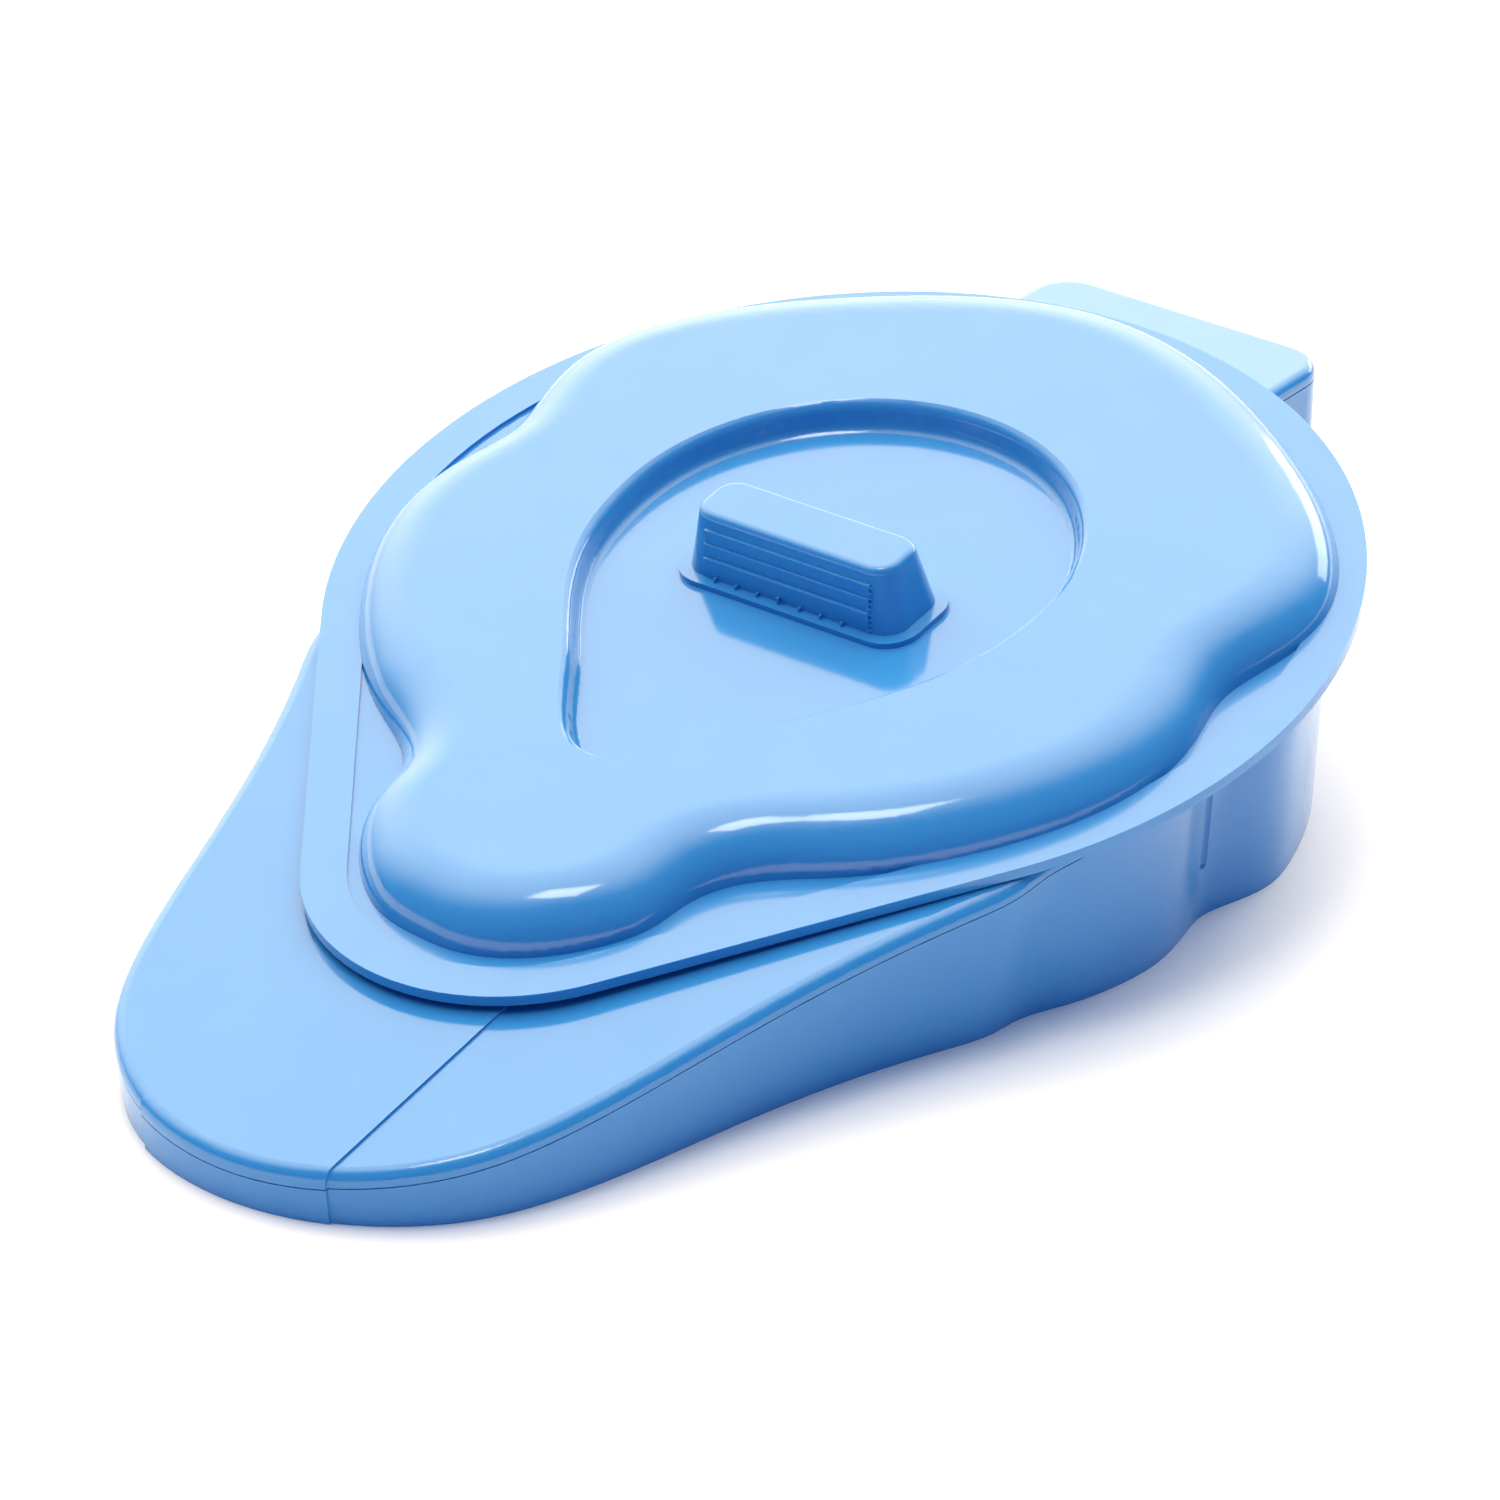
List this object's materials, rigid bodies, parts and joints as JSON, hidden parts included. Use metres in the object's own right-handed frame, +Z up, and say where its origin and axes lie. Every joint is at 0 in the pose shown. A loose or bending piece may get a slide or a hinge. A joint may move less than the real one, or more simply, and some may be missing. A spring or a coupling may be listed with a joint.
{
  "type": "bedpan",
  "caption": "Low slipper bedpan with a sloping deck, a teardrop seat opening, a rear grip and a domed lift-off lid with a stepped knob.",
  "frame": {"origin": "centre of the footprint's bounding box, on the surface the pan stands on", "axes": "+X across the pan to its right seen from the front edge, +Y along its length from the thin front edge to the rear handle, +Z up"},
  "size_m": [0.279, 0.4288, 0.0995],
  "materials": {
    "pan_plastic": "glossy moulded light-blue polypropylene",
    "lid_plastic": "glossy moulded light-blue polypropylene",
    "knob_plastic": "glossy moulded light-blue polypropylene"
  },
  "bodies": {
    "pan": {"pan_tray": "pan_plastic", "seat_deck": "pan_plastic"},
    "lid": {"lid_panel": "lid_plastic", "lid_knob": "knob_plastic"}
  },
  "joints": [
    {"name": "lid_lift", "type": "slide", "parent": "pan", "child": "lid", "axis": [0, 0, 1], "range_m": [0, 0.08]}
  ]
}
